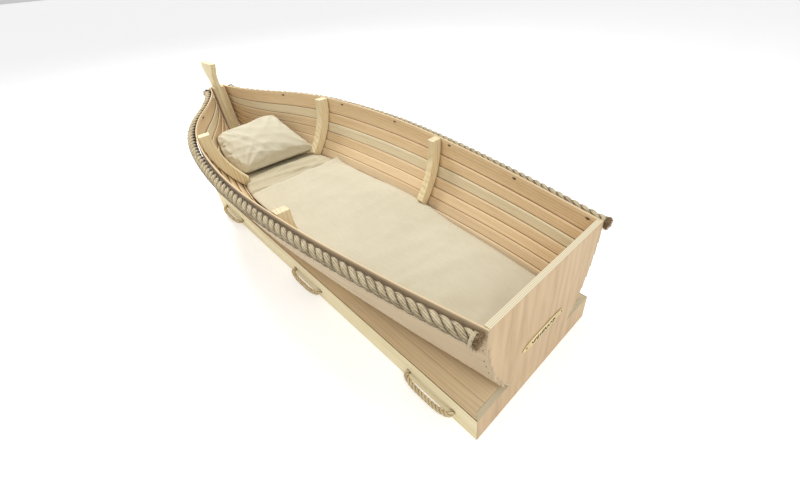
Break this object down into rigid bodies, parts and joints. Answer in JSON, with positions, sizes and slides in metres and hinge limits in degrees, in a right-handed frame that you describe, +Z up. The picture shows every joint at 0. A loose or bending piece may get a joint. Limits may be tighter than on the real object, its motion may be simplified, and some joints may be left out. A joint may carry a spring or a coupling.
{
  "type": "boat-shaped coffin",
  "caption": "Open coffin built as a small clinker rowing boat on a low box base, with rope fenders, rope carrying handles, a mattress, a blanket and a pillow.",
  "frame": {"origin": "centre of the part's footprint, on the floor plane under the base", "axes": "+X toward the foot (transom), -X toward the stem, +Y toward starboard, +Z up"},
  "size_m": [2.2196, 0.8404, 0.592],
  "materials": {
    "plank": "bare, finely sanded pale pink-brown planks",
    "pale_plank": "bare, paler and greyer plank",
    "pine": "bare planed pine",
    "plywood": "bare plywood with cream ply edges",
    "plate": null,
    "rope": "three-strand natural fibre rope, matt",
    "canvas": "unbleached cotton canvas, matt"
  },
  "bodies": {
    "root": {"base_bottom_panel": "pine", "base_end_head": "pine", "base_side_port": "pine", "base_side_starboard": "pine", "blanket": "canvas", "bottom_board": "plywood", "deck_edge_port": "pine", "deck_edge_starboard": "pine", "deck_panel": "pine", "fender_rope_port": "rope", "fender_rope_starboard": "rope", "frame_1_port": "pine", "frame_1_starboard": "pine", "frame_2_port": "pine", "frame_2_starboard": "pine", "handle_rope_1_port": "rope", "handle_rope_1_starboard": "rope", "handle_rope_2_port": "rope", "handle_rope_2_starboard": "rope", "handle_rope_3_port": "rope", "handle_rope_3_starboard": "rope", "mattress": "canvas", "nameplate": "plate", "pillow": "canvas", "stem": "pine", "stem_cheek_port": "pine", "stem_cheek_starboard": "pine", "strake_1_port": "plank", "strake_1_starboard": "plank", "strake_2_port": "plank", "strake_2_starboard": "plank", "strake_3_port": "plank", "strake_3_starboard": "plank", "strake_4_port": "plank", "strake_4_starboard": "plank", "strake_5_port": "plank", "strake_5_starboard": "plank", "strake_6_port": "pale_plank", "strake_6_starboard": "pale_plank", "strake_7_port": "plank", "strake_7_starboard": "plank", "strake_8_port": "plank", "strake_8_starboard": "plank", "transom": "plywood"}
  },
  "joints": []
}
